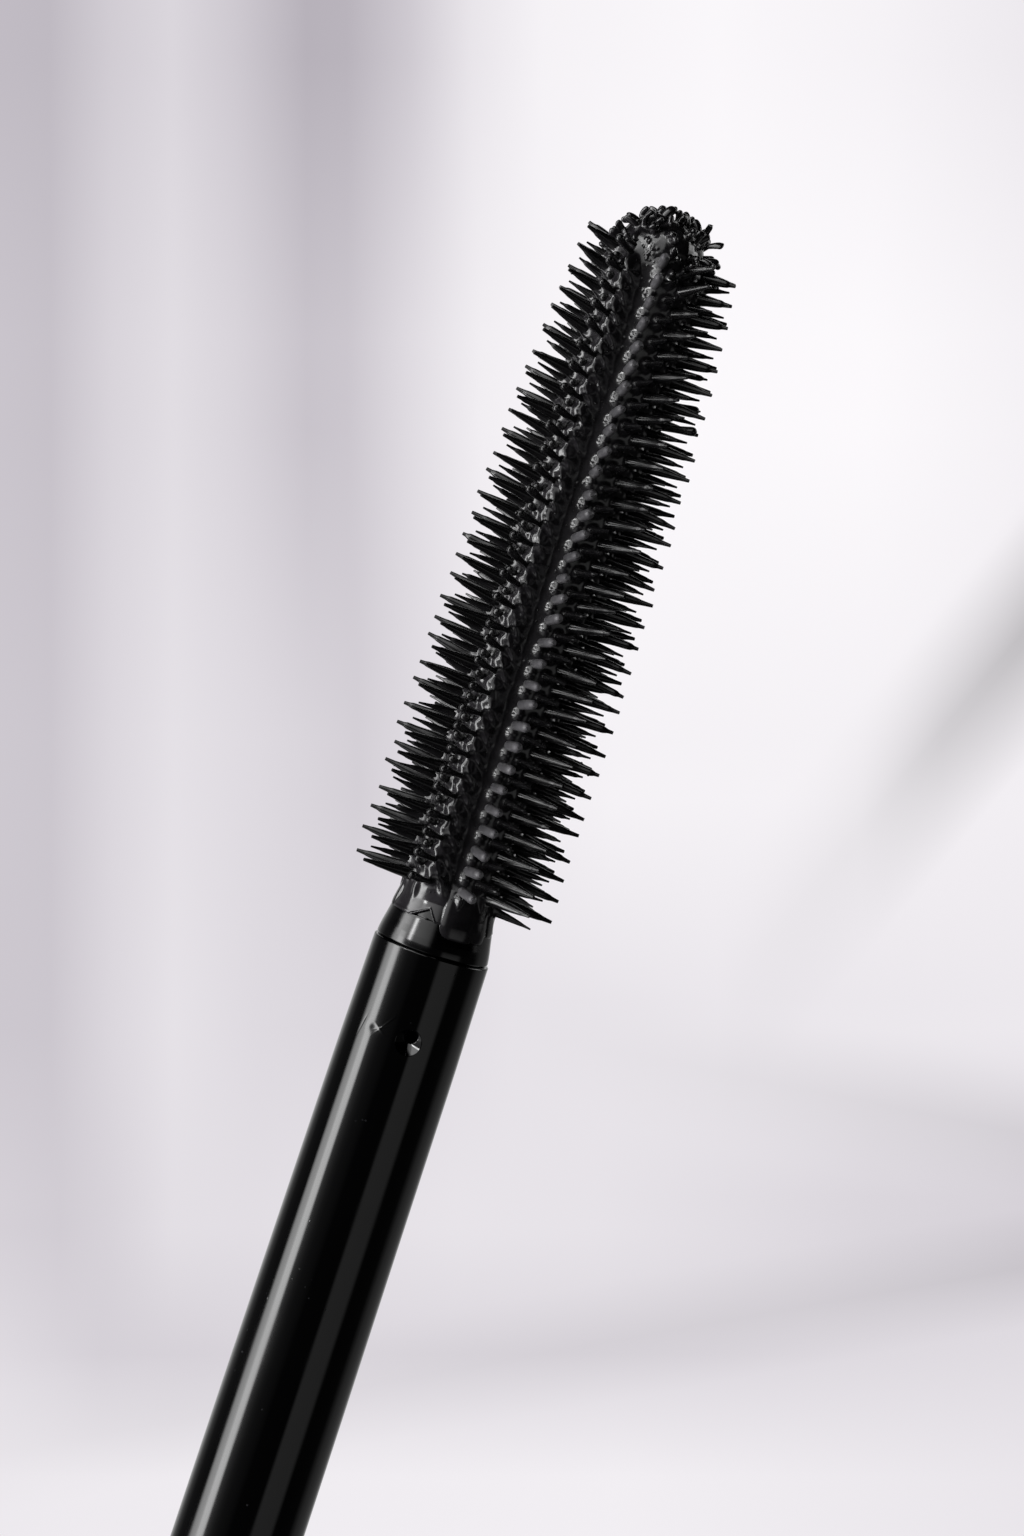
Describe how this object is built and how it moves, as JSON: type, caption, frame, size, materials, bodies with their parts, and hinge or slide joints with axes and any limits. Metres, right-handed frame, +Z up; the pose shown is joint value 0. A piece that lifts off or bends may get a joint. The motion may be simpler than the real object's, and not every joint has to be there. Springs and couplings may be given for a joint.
{
  "type": "mascara tube",
  "caption": "Slim black mascara tube with its wand drawn out: moulded bristle brush on a hollow stem, weighted locking cap, wiper and filled vial.",
  "frame": {"origin": "centre of the bottle's foot ring, on the surface it stands on", "axes": "+Z up along the common axis of bottle, wand and cap; -Y faces the stem's stake hole and one bare channel of the brush"},
  "size_m": [0.017, 0.017, 0.211],
  "materials": {
    "gloss_black": "high gloss moulded, faint hairline wear",
    "satin_black": "fine spark-eroded satin",
    "label_paper": "blank semi-gloss sticker",
    "neck_plastic": "moulded, slightly waxy",
    "dark_metal": "dark anodised, circular brushed",
    "wiper_plastic": "soft moulded polyethylene, smeared with product",
    "product": "wet black cosmetic paste",
    "seal_foam": "closed-cell foam",
    "weight_steel": "turned slug, zinc dulled",
    "liner_plastic": "moulded polypropylene",
    "stem_plastic": "polished black acetal, fine wiping scratches",
    "core_plastic": "moulded, polished collar",
    "brush_elastomer": "satin elastomer, wet with product at the roots"
  },
  "bodies": {
    "tube": {"outer_sleeve": "gloss_black", "base_plug": "satin_black", "base_label": "label_paper", "vial": "neck_plastic", "neck_collar": "dark_metal", "wiper": "wiper_plastic", "formula": "product"},
    "seal": {"seal_ring": "seal_foam"},
    "wand": {"cap_band": "dark_metal", "cap_shell": "gloss_black", "cap_top_disc": "gloss_black", "cap_weight": "weight_steel", "cap_liner": "liner_plastic", "stem": "stem_plastic", "brush_core": "core_plastic", "brush_sleeve": "brush_elastomer", "long_bristles": "brush_elastomer", "short_bristles": "brush_elastomer", "tip_bristles": "brush_elastomer"}
  },
  "joints": [
    {"name": "wand_draw", "type": "slide", "parent": "tube", "child": "seal", "axis": [0, 0, 1], "range_m": [-0.089, 0], "deforming": ["wiper", "formula", "long_bristles", "short_bristles", "tip_bristles"]},
    {"name": "cap_turn", "type": "hinge", "parent": "seal", "child": "wand", "pos_m": [0, 0, 0.1741], "axis": [0, 0, 1], "range_deg": [-60, 0]}
  ]
}
